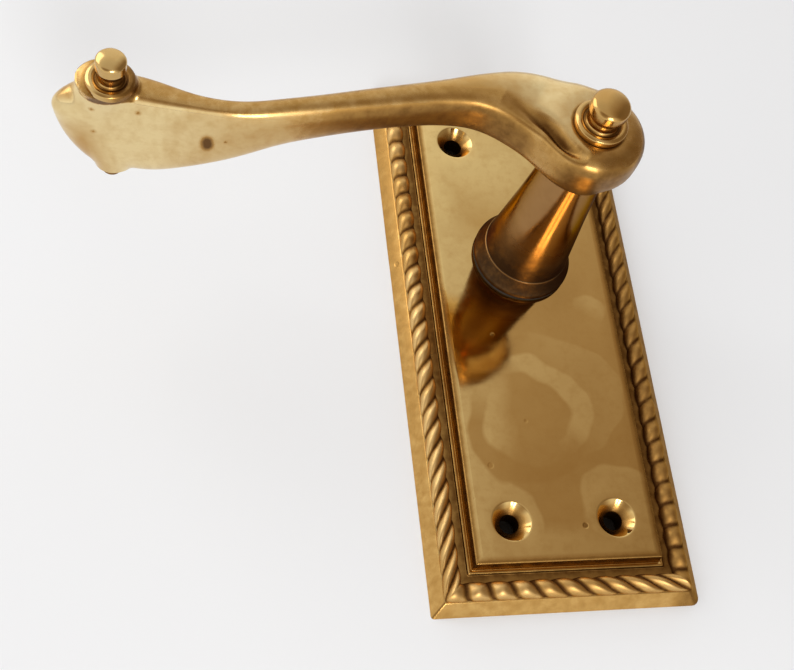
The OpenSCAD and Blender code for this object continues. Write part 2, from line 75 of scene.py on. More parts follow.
# Lever
REACH, RISE = 94.3, 5.5
ARM_FACE = 58.2
WAIST_H, WAIST_D, GRIP_D = 6.8, 9.0, 24.0
SCROLL_HALF, SCROLL_DROP, COLLAR_H = 4.6, 2.0, 1.0
NOSE_SIDE, COLLAR_SIDE = 0.9, 1.4
CONE_DEPTH = 9.0
HUB_BASE_R, SCROLL_BASE_R = 5.5, 4.6
HUB_R, HUB_T = 10.7, 12.5
HUB_FACE = ARM_FACE + 0.3
HUB_BACK = HUB_FACE - HUB_T
SCROLL_FRONT = ARM_FACE - SCROLL_DROP
SCROLL_FACE = SCROLL_FRONT + COLLAR_H
SCROLL_BACK = SCROLL_FRONT - GRIP_D - 0.6
# Rows from the scroll's axis to just past the hub's: sway, half height, flare, taper, squareness
ARM_ROWS = [
    (1.4, SCROLL_HALF * 1.8 / WAIST_H, 1.02, 0.08, 3.6),
    (0.2, 1.12, 0.99, 0.08, 3.8),
    (-2.0, 0.80, 0.70, 0.06, 3.4),
    (-2.9, 0.80, 0.38, 0.04, 2.9),
    (-1.6, 0.89, 0.15, 0.0, 2.4),
    (0.1, 0.90, 0.06, 0.0, 2.4),
    (2.0, 0.96, 0.01, 0.0, 2.4),
    (3.9, 1.02, 0.00, 0.0, 2.4),
    (5.7, 1.06, 0.02, 0.0, 2.9),
    (7.0, 1.39, 0.06, 0.0, 3.6),
    (5.9, 2.29, 0.11, 0.0, 3.9),
    (2.2, 3.18, 0.15, 0.0, 4.0),
    (0.1, 2.94, 0.15, 0.0, 4.0),
]
# How far past the hub's axis the last row lies, as a share of the reach
ROOT_SHARE = -0.021
# How far the smooth solids flow into each other
HUB_BLEND, FACE_BLEND, SCROLL_BLEND, ROOT_BLEND = 2.2, 0.5, 3.0, 4.0
# Dark pits on the arm's lower side: x, z, half width, half height, strength
PITS = [
    (-76.2, 47.8, 1.2, 2.3, 1.25),
    (-89.2, 52.8, 0.5, 0.5, 0.6),
    (-97.6, 52.6, 0.5, 0.5, 0.6),
    (-97.2, 45.6, 0.5, 0.5, 0.6),
    (-72.9, 49.4, 0.4, 0.5, 0.6),
]
# The hub's crease in plan, from below the button up to the arm
CREASE = [(-3.4, -7.8), (-6.0, -6.0), (-8.2, -3.3), (-10.2, 0.0), (-13.5, 2.7), (-16.4, 4.9), (-19.0, 6.4)]
CREASE_DEPTH = 1.5
CREASE_LOW, CREASE_FADE = HUB_FACE - 8, 4.5

# Neck
FOOT_R, FOOT_Z, FOOT_H, FOOT_TOP_R = 11.5, 6.75, 4.7, 9.9
BAND_H, SKIRT_BOW = 0.9, 0.8
NECK_LOW_R, NECK_TOP_R = 9.7, 6.4
JOURNAL_R, TAIL_R, TAIL_FLATS = 8.5, 7.5, 13.4
TAIL_Z, DRIVE_TOP = 0.7, 3.5
SOCKET_W, SOCKET_DEPTH = 8.1, 33.0


# ------------------------ meshes
SHARP_ANGLE = 38


def make_piece(name, patch, material, body, nodes, normals=None):
    """A smooth-shaded piece of verts, faces and a level of grime and painted shade, riding on a body and standing for
    CAD nodes.
    """
    verts, faces, grime_and_shade = patch
    mesh = bpy.data.meshes.new(name)
    verts = np.asarray(verts, float) * MM
    mesh.from_pydata(verts.tolist(), [], [tuple(int(i) for i in f) for f in faces])
    mesh.polygons.foreach_set("use_smooth", [True] * len(mesh.polygons))
    # This attribute holds real dirt together with painted shade in creases and on shaded sides.
    layer = mesh.attributes.new("grime_and_shade", "FLOAT", "POINT")
    layer.data.foreach_set("value", np.clip(np.asarray(grime_and_shade, np.float32), 0, 1))
    if normals is not None:
        mesh.normals_split_custom_set_from_vertices(np.asarray(normals, float).tolist())
    else:
        turned = bmesh.new()
        turned.from_mesh(mesh)
        bmesh.ops.recalc_face_normals(turned, faces=turned.faces)
        turned.to_mesh(mesh)
        turned.free()
        mesh.set_sharp_from_angle(angle=math.radians(SHARP_ANGLE))
    mesh.materials.append(material)
    piece = bpy.data.objects.new(name, mesh)
    bpy.context.scene.collection.objects.link(piece)
    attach(piece, body)
    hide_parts(*nodes)
    return piece


class Builder:
    """Collects vertices, faces and levels of grime and painted shade from several patches of one piece."""

    def __init__(self):
        self.verts, self.faces, self.grime_and_shade = [], [], []

    def add(self, verts, faces, grime_and_shade=0.0):
        """One more patch, with one level of grime and painted shade or one for each vertex; gives the builder back."""
        base = len(self.verts)
        self.verts += [tuple(v) for v in verts]
        self.faces += [tuple(base + i for i in f) for f in faces]
        self.grime_and_shade += list(grime_and_shade) if np.ndim(grime_and_shade) else [grime_and_shade] * len(verts)
        return self

    def welded(self, distance=1e-3):
        """Verts, faces and levels of grime and painted shade with coincident vertices joined."""
        keys, index, remap = {}, [], []
        for i, v in enumerate(self.verts):
            key = tuple(round(c / distance) for c in v)
            if key not in keys:
                keys[key] = len(index)
                index.append(i)
            remap.append(keys[key])
        faces = []
        for f in self.faces:
            g = [remap[i] for i in f]
            g = [a for k, a in enumerate(g) if a != g[k - 1]]
            if len(set(g)) > 2:
                faces.append(g)
        return [self.verts[i] for i in index], faces, [self.grime_and_shade[i] for i in index]


def grid_faces(rows, cols, wrap_rows=False, wrap_cols=False):
    """Quads of a grid of rows x cols points."""
    out = []
    for i in range(rows if wrap_rows else rows - 1):
        for k in range(cols if wrap_cols else cols - 1):
            j, m = (i + 1) % rows, (k + 1) % cols
            out.append((i * cols + k, i * cols + m, j * cols + m, j * cols + k))
    return out


def rounded(points, steps=5):
    """A polyline of (x, y, radius) with each corner turned into an arc; gives (x, y, bend)."""
    out = []
    n = len(points)
    for i, (x, y, r) in enumerate(points):
        if r <= 0 or i in (0, n - 1):
            out.append((x, y, 0.0))
            continue
        p, a, b = np.array((x, y)), np.array(points[i - 1][:2]), np.array(points[i + 1][:2])
        u, v = (a - p) / np.linalg.norm(a - p), (b - p) / np.linalg.norm(b - p)
        half = math.acos(max(-1, min(1, float(u @ v)))) / 2
        if half > math.pi / 2 - 0.01:
            out.append((x, y, 0.0))
            continue
        length = min(r / math.tan(half), 0.49 * np.linalg.norm(a - p), 0.49 * np.linalg.norm(b - p))
        r = length * math.tan(half)
        centre = p + (u + v) / np.linalg.norm(u + v) * (r / math.sin(half))
        start, end = p + u * length - centre, p + v * length - centre
        a0 = math.atan2(start[1], start[0])
        turn = (math.atan2(end[1], end[0]) - a0 + math.pi) % (2 * math.pi) - math.pi
        for k in range(steps + 1):
            angle = a0 + turn * k / steps
            out.append((centre[0] + r * math.cos(angle), centre[1] + r * math.sin(angle), turn))
    return out


def lathe(profile, steps=128, centre=(0.0, 0.0)):
    """Grid turned about Z from (r, z, bend) points; creases, which bend inwards, get dirt and painted shade."""
    rows, grime_and_shade = [], []
    for r, z, bend in profile:
        for k in range(steps):
            a = 2 * math.pi * k / steps
            rows.append((centre[0] + r * math.cos(a), centre[1] + r * math.sin(a), z))
            grime_and_shade.append(0.8 if bend < -0.5 else 0.0)
    return rows, grid_faces(len(profile), steps, wrap_cols=True), grime_and_shade


def circle_loop(x, y, r, n):
    """Points on a circle, anticlockwise."""
    return [(x + r * math.cos(2 * math.pi * k / n), y + r * math.sin(2 * math.pi * k / n)) for k in range(n)]


def rounded_rect(half_x, half_y, r, corner=6, side=24):
    """Rounded rectangle about the plate's middle, anticlockwise from the +X side's lower end."""
    out = []
    corners = [(1, 1), (-1, 1), (-1, -1), (1, -1)]
    for turn, (sx, sy) in enumerate(corners):
        for k in range(corner + 1):
            a = math.radians(90 * turn + 90 * k / corner)
            out.append((sx * (half_x - r) + r * math.cos(a), PLATE_MID_Y + sy * (half_y - r) + r * math.sin(a)))
        nx, ny = corners[(turn + 1) % 4]
        a = math.radians(90 * turn + 90)
        p = out[-1]
        q = (nx * (half_x - r) + r * math.cos(a), PLATE_MID_Y + ny * (half_y - r) + r * math.sin(a))
        out += [(p[0] + (q[0] - p[0]) * k / side, p[1] + (q[1] - p[1]) * k / side) for k in range(1, side)]
    return out


def inside(loop, xy):
    """Which points of xy lie inside a closed loop."""
    loop = np.asarray(loop)
    x, y = xy[:, 0], xy[:, 1]
    hit = np.zeros(len(xy), bool)
    for (x0, y0), (x1, y1) in zip(loop, np.roll(loop, -1, axis=0)):
        if y0 != y1:
            hit ^= ((y0 > y) != (y1 > y)) & (x < (x1 - x0) * (y - y0) / (y1 - y0) + x0)
    return hit


def flat_face(outer, holes, z, grid=0.0, up=True):
    """Triangles of a flat region with holes, with extra points on a grid of that pitch."""
    loops = [outer] + list(holes)
    points = [p for loop in loops for p in loop]
    edges = []
    base = 0
    for loop in loops:
        edges += [(base + k, base + (k + 1) % len(loop)) for k in range(len(loop))]
        base += len(loop)
    if grid > 0:
        low, high = np.min(outer, axis=0), np.max(outer, axis=0)
        gx, gy = np.meshgrid(np.arange(low[0], high[0], grid), np.arange(low[1], high[1], grid))
        extra = np.stack([gx.ravel(), gy.ravel()], 1)
        keep = inside(outer, extra)
        near = np.array(points)
        for hole in holes:
            keep &= ~inside(hole, extra)
        extra = extra[keep]
        gap = np.min(np.linalg.norm(extra[:, None, :] - near[None, ::2, :], axis=2), axis=1)
        points += [tuple(p) for p in extra[gap > grid * 0.5]]
    verts, _, faces, *_ = delaunay_2d_cdt([Vector(p) for p in points], edges, [], 0, 1e-5)
    xy = np.array([tuple(v) for v in verts])
    centres = np.array([xy[list(f)].mean(0) for f in faces])
    keep = inside(outer, centres)
    for hole in holes:
        keep &= ~inside(hole, centres)
    tris = [tuple(f) if up else tuple(reversed(f)) for f, k in zip(faces, keep) if k]
    return [(x, y, z) for x, y in xy], tris


def wall(loop, z0, z1, outward=True):
    """Upright wall along a closed loop from z0 up to z1."""
    n = len(loop)
    verts = [(x, y, z0) for x, y in loop] + [(x, y, z1) for x, y in loop]
    faces = [(k, (k + 1) % n, n + (k + 1) % n, n + k) for k in range(n)]
    return verts, faces if outward else [tuple(reversed(f)) for f in faces]


# ------------------------ smooth noise for hand finishing
def wave(x, y, seed=0.0):
    """Slow, smooth unevenness of hand-polished metal, about -1 to 1."""
    return (
        np.sin(0.21 * x + 0.13 * y + 1.3 + seed)
        + np.sin(0.11 * x - 0.19 * y + 4.1 + 1.7 * seed)
        + np.sin(-0.07 * x + 0.31 * y + 0.7 - seed)
    ) / 3


# ------------------------ materials
def new_material(name):
    """A node material: itself, its tree and its shader."""
    material = bpy.data.materials.new(name)
    material.use_nodes = True
    tree = material.node_tree
    return material, tree, tree.nodes["Principled BSDF"]


def surface_place(tree):
    """Coordinates on the piece itself, in metres."""
    return tree.nodes.new("ShaderNodeTexCoord").outputs["Object"]


def add(tree, kind, **inputs):
    """A node with some of its inputs set by name."""
    node = tree.nodes.new(kind)
    for key, value in inputs.items():
        node.inputs[key.replace("_", " ")].default_value = value
    return node


def noise(tree, vector, scale, detail=3.0, roughness=0.5, distortion=0.0):
    """Smooth noise, about 0.3 to 0.7."""
    node = add(tree, "ShaderNodeTexNoise", Scale=scale, Detail=detail, Roughness=roughness, Distortion=distortion)
    tree.links.new(vector, node.inputs["Vector"])
    return node.outputs["Fac"]


def ramp(tree, source, low, high, start=0.0, end=1.0):
    """Maps source from low..high to start..end, clamped."""
    node = tree.nodes.new("ShaderNodeMapRange")
    tree.links.new(source, node.inputs["Value"])
    for key, value in (("From Min", low), ("From Max", high), ("To Min", start), ("To Max", end)):
        node.inputs[key].default_value = value
    return node.outputs["Result"]


def math_node(tree, operation, a, b):
    """One operation on two values or sockets."""
    node = tree.nodes.new("ShaderNodeMath")
    node.operation = operation
    for socket, value in zip(node.inputs, (a, b)):
        if isinstance(value, (int, float)):
            socket.default_value = value
        else:
            tree.links.new(value, socket)
    return node.outputs["Value"]


def mix_colour(tree, factor, a, b):
    """Colour a where the factor is 0 and colour b where it is 1."""
    node = tree.nodes.new("ShaderNodeMix")
    node.data_type = "RGBA"
    tree.links.new(factor, node.inputs["Factor"])
    for socket, value in ((node.inputs[6], a), (node.inputs[7], b)):
        if isinstance(value, tuple):
            socket.default_value = (*value, 1)
        else:
            tree.links.new(value, socket)
    return node.outputs[2]


def stretched(tree, source, scale, turn=(0.0, 0.0, 0.0)):
    """Coordinates scaled and turned, for grain and scratches that run one way."""
    node = tree.nodes.new("ShaderNodeMapping")
    node.inputs["Scale"].default_value = scale
    node.inputs["Rotation"].default_value = turn
    tree.links.new(source, node.inputs["Vector"])
    return node.outputs["Vector"]


def bump(tree, height, distance, normal=None):
    """Fine relief of that depth in metres, on top of another if one is given."""
    node = add(tree, "ShaderNodeBump", Distance=distance, Strength=1.0)
    tree.links.new(height, node.inputs["Height"])
    if normal is not None:
        tree.links.new(normal, node.inputs["Normal"])
    return node.outputs["Normal"]


def ring_mark(tree, place, centre, radius, width, wobble, side):
    """Soft arc, ring or disc (width as large as the radius) round a point of the panel, in millimetres."""
    shifted = tree.nodes.new("ShaderNodeMapping")
    shifted.inputs["Location"].default_value = (-centre[0] * MM, -centre[1] * MM, 0)
    shifted.inputs["Scale"].default_value = (1, 1, 0)
    tree.links.new(place, shifted.inputs["Vector"])
    length = tree.nodes.new("ShaderNodeVectorMath")
    length.operation = "LENGTH"
    tree.links.new(shifted.outputs["Vector"], length.inputs[0])
    reach = math_node(tree, "ADD", length.outputs["Value"], wobble)
    gap = math_node(tree, "ABSOLUTE", math_node(tree, "SUBTRACT", reach, (radius - width / 2) * MM), 0)
    mark = ramp(tree, gap, width / 2 * MM, (width / 2 + 1.1) * MM, 1.0, 0.0)
    if side is None:
        return mark
    toward = tree.nodes.new("ShaderNodeVectorMath")
    toward.operation = "DOT_PRODUCT"
    toward.inputs[1].default_value = (*side, 0)
    tree.links.new(shifted.outputs["Vector"], toward.inputs[0])
    soft = 0.35 * radius * MM
    return math_node(tree, "MULTIPLY", mark, ramp(tree, toward.outputs["Value"], -soft, soft))


def panel_stains(tree, place):
    """Where polish has cut through the tarnish: 0 brown, 1 bright."""
    wobble = math_node(tree, "MULTIPLY", math_node(tree, "SUBTRACT", noise(tree, place, 55, 2, 0.4), 0.5), 16 * MM)
    axes = tree.nodes.new("ShaderNodeSeparateXYZ")
    tree.links.new(place, axes.inputs["Vector"])
    across = math_node(tree, "ADD", axes.outputs["X"], wobble)
    along = math_node(tree, "ADD", axes.outputs["Y"], wobble)
    bright = ramp(tree, across, -9 * MM, -17 * MM, 0.12, 0.9)
    bright = math_node(tree, "MAXIMUM", bright, ramp(tree, along, -60 * MM, -66 * MM, 0.0, 0.6))
    bright = math_node(tree, "MAXIMUM", bright, ramp(tree, along, 8 * MM, 26 * MM, 0.0, 1.0))
    for centre, radius, width, level, side in STAINS:
        mark = math_node(tree, "MULTIPLY", ring_mark(tree, place, centre, radius, width, wobble, side), abs(level))
        if level > 0:
            bright = math_node(tree, "MAXIMUM", bright, mark)
        else:
            bright = math_node(tree, "MULTIPLY", bright, math_node(tree, "SUBTRACT", 1.0, mark))
    return bright


def rare_pits(tree, place):
    """Small round pits: 1 inside, in about one cell of fifteen."""
    cells = add(tree, "ShaderNodeTexVoronoi", Scale=210, Randomness=1.0)
    tree.links.new(place, cells.inputs["Vector"])
    chance = tree.nodes.new("ShaderNodeSeparateColor")
    tree.links.new(cells.outputs["Color"], chance.inputs["Color"])
    spot = ramp(tree, cells.outputs["Distance"], 0.10, 0.16, 1.0, 0.0)
    return math_node(tree, "MULTIPLY", spot, ramp(tree, chance.outputs["Red"], 0.93, 0.95, 0.0, 1.0))


def brass(name, clean, aged_and_shade, dirt_and_shade, gloss, patches=0.5, unevenness=9e-5, turn=(0.0, 0.0, 0.4), stains=False):
    """Polished brass with tarnish patches, smears, fine scratches, small pits, and dirt and painted shade in creases
    and on shaded sides.
    """
    material, tree, shader = new_material(name)
    place = surface_place(tree)
    painted = add(tree, "ShaderNodeAttribute")
    painted.attribute_name = "grime_and_shade"
    shade_and_grime = painted.outputs["Fac"]
    cloud = noise(tree, place, 34, 4, 0.55, 0.6)
    patch = ramp(tree, cloud, 0.5 - 0.1 * patches, 0.62, 0.0, 1.0)
    mottle = noise(tree, place, 420, 5, 0.65)
    smear = noise(tree, stretched(tree, place, (70, 260, 160), turn), 1.0, 4, 0.6, 0.4)
    scratch = noise(tree, stretched(tree, place, (300, 6500, 2600), turn), 1.0, 3, 0.7)
    pit = rare_pits(tree, place)
    if stains:
        bare = math_node(tree, "SUBTRACT", 1.0, panel_stains(tree, place))
        patch = math_node(tree, "MAXIMUM", math_node(tree, "MULTIPLY", patch, 0.3), bare)
    tone = mix_colour(tree, math_node(tree, "MULTIPLY", patch, 0.85), clean, aged_and_shade)
    tone = mix_colour(tree, ramp(tree, mottle, 0.45, 0.75, 0.0, 0.35), tone, aged_and_shade)
    # Where the mesh's level of dirt and painted shade is high, the colour goes to the aged and then the darkest tone,
    # and the metal gets rougher.
    dirty_and_shaded = ramp(tree, math_node(tree, "MULTIPLY", shade_and_grime, ramp(tree, mottle, 0.2, 0.7, 0.8, 1.3)), 0.05, 1.0)
    dirty_and_shaded = math_node(tree, "MAXIMUM", dirty_and_shaded, math_node(tree, "MULTIPLY", pit, 0.8))
    tone = mix_colour(tree, ramp(tree, dirty_and_shaded, 0.0, 0.5), tone, aged_and_shade)
    tone = mix_colour(tree, ramp(tree, dirty_and_shaded, 0.35, 1.0), tone, dirt_and_shade)
    tree.links.new(tone, shader.inputs["Base Color"])
    shader.inputs["Metallic"].default_value = 1.0
    smeared = ramp(tree, smear, 0.3, 0.75, gloss, gloss + 0.1)
    rough = math_node(tree, "ADD", smeared, math_node(tree, "MULTIPLY", dirty_and_shaded, 0.3))
    tree.links.new(rough, shader.inputs["Roughness"])
    wobble = bump(tree, noise(tree, place, 75, 2, 0.4), unevenness)
    fine = bump(tree, math_node(tree, "ADD", scratch, math_node(tree, "MULTIPLY", mottle, 0.8)), 2.2e-6, wobble)
    pitted = bump(tree, math_node(tree, "MULTIPLY", pit, -1.0), 6e-5, fine)
    tree.links.new(pitted, shader.inputs["Normal"])
    return material


def dull_edges(material, colour):
    """Darkens the metal where it is seen along its surface."""
    material.node_tree.nodes["Principled BSDF"].inputs["Specular Tint"].default_value = (*colour, 1)


def steel(name, colour, gloss):
    """Plain steel with a fine grain and slight oil stains."""
    material, tree, shader = new_material(name)
    place = surface_place(tree)
    stain = noise(tree, place, 120, 4, 0.6)
    lines = noise(tree, stretched(tree, place, (400, 5200, 400)), 1.0, 3, 0.6)
    dark = tuple(0.55 * c for c in colour)
    tone = mix_colour(tree, ramp(tree, stain, 0.42, 0.7, 0.0, 0.8), colour, dark)
    tree.links.new(tone, shader.inputs["Base Color"])
    shader.inputs["Metallic"].default_value = 1.0
    tree.links.new(ramp(tree, lines, 0.3, 0.7, gloss, gloss + 0.18), shader.inputs["Roughness"])
    tree.links.new(bump(tree, lines, 3e-6), shader.inputs["Normal"])
    return material


def nylon(name, colour):
    """Moulded nylon with a fine grain, greyed by wear."""
    material, tree, shader = new_material(name)
    place = surface_place(tree)
    grain = noise(tree, place, 2600, 3, 0.6)
    worn = noise(tree, place, 160, 3, 0.6)
    pale = tuple(min(1.0, 1.7 * c + 0.02) for c in colour)
    tree.links.new(mix_colour(tree, ramp(tree, worn, 0.4, 0.75), colour, pale), shader.inputs["Base Color"])
    tree.links.new(ramp(tree, worn, 0.3, 0.7, 0.5, 0.7), shader.inputs["Roughness"])
    shader.inputs["Specular IOR Level"].default_value = 0.2
    tree.links.new(bump(tree, grain, 8e-6), shader.inputs["Normal"])
    return material


# Aged and darkest brass tones, for real tarnish and dirt and also for painted shade.
AGED_AND_SHADE, DIRT_AND_SHADE = (0.50, 0.275, 0.075), (0.14, 0.062, 0.014)
# Arcs and discs on the panel where tarnish is thin, or thick if the strength is below 0:
# centre, radius, width, strength, and the side an arc lies on
STAINS = [
    ((-1.0, -39.0), 12.5, 3.6, 0.75, (0.8, 0.6)),
    ((3.0, -36.0), 16.0, 9.0, 0.35, (0.9, 0.3)),
    ((12.5, -61.0), 11.0, 11.0, 0.6, None),
    ((-11.0, -64.0), 8.0, 8.0, 0.65, None),
    ((14.0, -14.0), 6.0, 4.0, 0.5, (0.5, 0.8)),
    ((-3.0, -43.0), 13.5, 4.0, -0.85, (-0.5, -0.86)),
    ((2.0, -70.5), 30.0, 1.5, -0.5, (0.0, -1.0)),
]
plate_brass = brass("plate_brass", (0.78, 0.55, 0.22), AGED_AND_SHADE, DIRT_AND_SHADE, gloss=0.03, unevenness=7e-5, stains=True)
rope_brass = brass("rope_brass", (0.74, 0.50, 0.21), AGED_AND_SHADE, (0.12, 0.05, 0.013), gloss=0.3)
lever_brass = brass("lever_brass", (0.80, 0.625, 0.32), AGED_AND_SHADE, DIRT_AND_SHADE, gloss=0.1, patches=0.8, turn=(0.0, 0.0, 1.5))
# The neck's brass is a much darker copy of the others, partly tarnish and partly painted shade.
neck_brass = brass(
    "neck_brass", (0.35, 0.19, 0.072), (0.25, 0.13, 0.044), (0.065, 0.037, 0.018), gloss=0.1, turn=(0.0, 0.0, 1.5)
)
button_brass = brass("button_brass", (0.60, 0.395, 0.15), AGED_AND_SHADE, DIRT_AND_SHADE, gloss=0.12)
dull_edges(neck_brass, (0.4, 0.32, 0.25))
dull_edges(plate_brass, (0.85, 0.68, 0.48))
dull_edges(rope_brass, (0.8, 0.62, 0.42))
case_steel = steel("case_steel", (0.62, 0.63, 0.66), 0.28)
spring_steel = steel("spring_steel", (0.40, 0.41, 0.44), 0.24)
dark_nylon = nylon("nylon", (0.02, 0.016, 0.013))


# ------------------------ backplate
def plate_loop(inset, low_corner=2.0):
    """Outline of the plate at that distance in from its edge; one lower corner is worn round."""
    half_x, half_y = PLATE_W / 2 - inset, PLATE_LEN / 2 - inset
    r = max(0.3, 0.7 - 0.06 * inset)
    loop = rounded_rect(half_x, half_y, r)
    worn = max(0.3, low_corner - 0.35 * inset)
    round_loop = rounded_rect(half_x, half_y, worn)
    out = []
    for (x, y), (u, v) in zip(loop, round_loop):
        share = min(1.0, max(0.0, (x - half_x + 4) / 4)) * min(1.0, max(0.0, (PLATE_MID_Y - half_y + 4 - y) / 4))
        x, y = x + (u - x) * share, y + (v - y) * share
        drift = 0.05 * wave(np.float64(x * 0.9), np.float64(y * 0.7), inset)
        out.append((x - math.copysign(abs(drift), x), y))
    return out


def star_loop(shapes, n=192):
    """Outline, seen from the neck's axis, of circles (y, radius, False) and a strip (half length, half width, True)."""
    out = []
    for k in range(n):
        a = 2 * math.pi * k / n
        ux, uy = math.cos(a), math.sin(a)
        best = 0.0
        for y, r, strip in shapes:
            if strip:
                best = max(best, min(y / max(abs(uy), 1e-9), r / max(abs(ux), 1e-9)))
            else:
                b = uy * y
                inner = b * b - (y * y - r * r)
                if inner >= 0:
                    best = max(best, b + math.sqrt(inner))
        out.append((best * ux, best * uy))
    return out


def plate_tarnish_and_shade(inset, z):
    """How dark the plate is painted at a distance in from its edge: dirt and painted shade in the groove, painted shade
    on the bead, the panel wall and the edge band.
    """
    if EDGE_RUN + 3.0 < inset < BEAD_END + 0.8 and z < LAND_H + 0.6 * BEAD_H:
        return 0.85
    if GROOVE_END < inset < BEAD_END + 0.2:
        return 0.5
    if BEAD_END + 0.3 < inset < BEAD_END + PANEL_RUN + 0.4:
        return 0.6
    return 0.42 if inset < EDGE_RUN + 0.2 else 0.0


def add_plate_front(build):
    """Edge band, land, bead and panel wall; gives the lowest and the highest loop."""
    profile = rounded(
        [
            (0.0, 0.0, 0.0),
            (EDGE_RUN, LAND_H, 0.5),
            (GROOVE_END - 0.1, LAND_H, 0.3),
            (GROOVE_END + 0.2, LAND_H + BEAD_H, 0.3),
            (BEAD_END + 0.05, LAND_H + BEAD_H, 0.3),
            (BEAD_END + 0.35, LAND_H + 0.4 * BEAD_H, 0.15),
            (BEAD_END + PANEL_RUN, PANEL_H - 0.06, 0.4),
            (BEAD_END + PANEL_RUN + 1.6, PANEL_H, 1.2),
            (PANEL_EDGE_IN, PANEL_H, 0.0),
        ],
        4,
    )
    loops = [plate_loop(inset) for inset, _, _ in profile]
    verts = [(x, y, z) for loop, (_, z, _) in zip(loops, profile) for x, y in loop]
    grime_and_shade = []
    for loop, (inset, z, _) in zip(loops, profile):
        level = plate_tarnish_and_shade(inset, z)
        for x, y in loop:
            low = (PLATE_MID_Y + PLATE_LEN / 2 - y) / PLATE_LEN
            # Painted levels grow towards the top of the plate, and the right-hand side gets more painted shade.
            grime_and_shade.append(level * (1.25 - 0.3 * low) + 0.3 * smooth_step((x - 22) / 6) * (level > 0))
    build.add(verts, grid_faces(len(loops), len(loops[0]), wrap_cols=True), grime_and_shade)
    return loops[0], loops[-1]


def add_panel(build, edge_loop, bore):
    """The panel's hand-polished top and its four countersunk holes."""
    lips = [circle_loop(x, y, LIP_R, 48) for x, y in HOLES]
    top, tris = flat_face(edge_loop, lips + [bore], PANEL_H, 2.0)
    top = np.array(top)
    edge = np.minimum(
        PLATE_W / 2 - PANEL_EDGE_IN - np.abs(top[:, 0]),
        PLATE_LEN / 2 - PANEL_EDGE_IN - np.abs(top[:, 1] - PLATE_MID_Y),
    )
    fade = np.clip(edge / 4, 0, 1)
    for x, y, r in [(x, y, LIP_R) for x, y in HOLES] + [(0, 0, BUSH_R)]:
        gap = np.hypot(top[:, 0] - x, top[:, 1] - y) - r
        fade = np.minimum(fade, np.clip(gap / 4, 0, 1))
    top[:, 2] -= PANEL_SAG * fade * (1 + wave(top[:, 0], top[:, 1]))
    build.add(top, tris)
    neck_z = PANEL_H - CSK_R + HOLE_R
    sink = [(LIP_R, PANEL_H, 0), (CSK_R, PANEL_H - 0.02, 0.35), (HOLE_R, neck_z, 0.25), (HOLE_R, 0, 0)]
    for x, y in HOLES:
        verts, faces, grime_and_shade = lathe(rounded(sink, 4), 48, (x, y))
        # Painted shade deep inside the screw holes.
        build.add(verts, faces, [max(g, 0.9 if v[2] < PANEL_H - 2.0 else 0.0) for v, g in zip(verts, grime_and_shade)])


def add_hollow_back(build, edge_loop, bore):
    """The recess under the plate, the screw bosses, and the case with the cover's seat and its chamber."""
    recess = rounded_rect(PLATE_W / 2 - RECESS_IN, PLATE_LEN / 2 - RECESS_IN, RECESS_R)
    bosses = [circle_loop(x, y, BOSS_R, 48) for x, y in HOLES]
    disc, ear = COVER_R + COVER_SEAT_GAP, COVER_EAR_R + COVER_SEAT_GAP
    ears = [(s * COVER_SCREW_R, ear, False) for s in (-1, 1)]
    seat = star_loop([(0, disc, False)] + ears + [(COVER_SCREW_R, ear, True)])
    case = star_loop([(0, disc + CASE_WALL, False)] + [(y, r + EAR_WALL, strip) for y, r, strip in ears])
    chamber = circle_loop(0, 0, CHAMBER_R, 96)
    build.add(*flat_face(edge_loop, [recess], 0.0, up=False))
    build.add(*wall(recess, 0.0, WEB_Z))
    build.add(*flat_face(recess, bosses + [case], WEB_Z, up=False))
    for (x, y), boss in zip(HOLES, bosses):
        build.add(*wall(boss, 0.0, WEB_Z))
        build.add(*flat_face(boss, [circle_loop(x, y, HOLE_R, 48)], 0.0, up=False))
    build.add(*wall(case, 0.0, WEB_Z))
    build.add(*flat_face(case, [seat], 0.0, up=False))
    build.add(*wall(seat, 0.0, COVER_T))
    build.add(*flat_face(seat, [chamber], COVER_T, up=False))
    build.add(*wall(chamber, COVER_T, WEB_Z))
    build.add(*flat_face(chamber, [bore], WEB_Z, up=False))
    build.add(*wall(bore, WEB_Z, PANEL_H))


def make_backplate():
    """The plate's casting: front, raised panel with four holes, and hollow back."""
    build = Builder()
    bore = circle_loop(0, 0, BUSH_R, 96)
    lowest, highest = add_plate_front(build)
    add_panel(build, highest, bore)
    add_hollow_back(build, lowest, bore)
    return make_piece("plate_body", build.welded(), plate_brass, "plate", ["backplate"])


# ------------------------ rope edge
def rope_point(side, share, a, half_along, half_across, strands):
    """Point of the rope at a share of its side and an angle over its round, 0 outside; and its level of dirt and
    painted shade.
    """
    ridge = abs(math.sin(math.pi * (strands * share + ROPE_LEAN * a / math.pi))) ** 1.05
    lift = math.sin(a)
    swell = 1 - 0.16 * (1 - ridge)
    swell += 0.015 * math.sin(7 * share * strands + side) - 0.015
    out = ROPE_W / 2 * math.cos(a) * swell
    along = (2 * share - 1) * (half_along + out)
    turn = math.radians(90 * side)
    x = along * math.cos(turn) + (half_across + out) * math.sin(turn)
    y = along * math.sin(turn) - (half_across + out) * math.cos(turn)
    z = LAND_H - 0.05 + ROPE_H * lift * (swell - 0.34 * (1 - ridge))
    # Dirt and painted shade in the valleys between strands and on the inner side by the groove; the bottom side is a
    # little darker, and the right-hand side gets painted shade.
    inner = max(0.0, -math.cos(a)) * max(0.0, 1.1 - 1.3 * lift)
    if side == 1:
        dirt_and_shade = 0.12 + 0.4 * smooth_step((x - 12) / 12) + 0.5 * max(0.0, 1 - 2.3 * ridge) + 0.5 * inner
    else:
        dirt_and_shade = (0.24 if side == 0 else 0.12) + 0.9 * max(0.0, 1 - 1.8 * ridge) + inner
    return (x, y + PLATE_MID_Y, z), dirt_and_shade


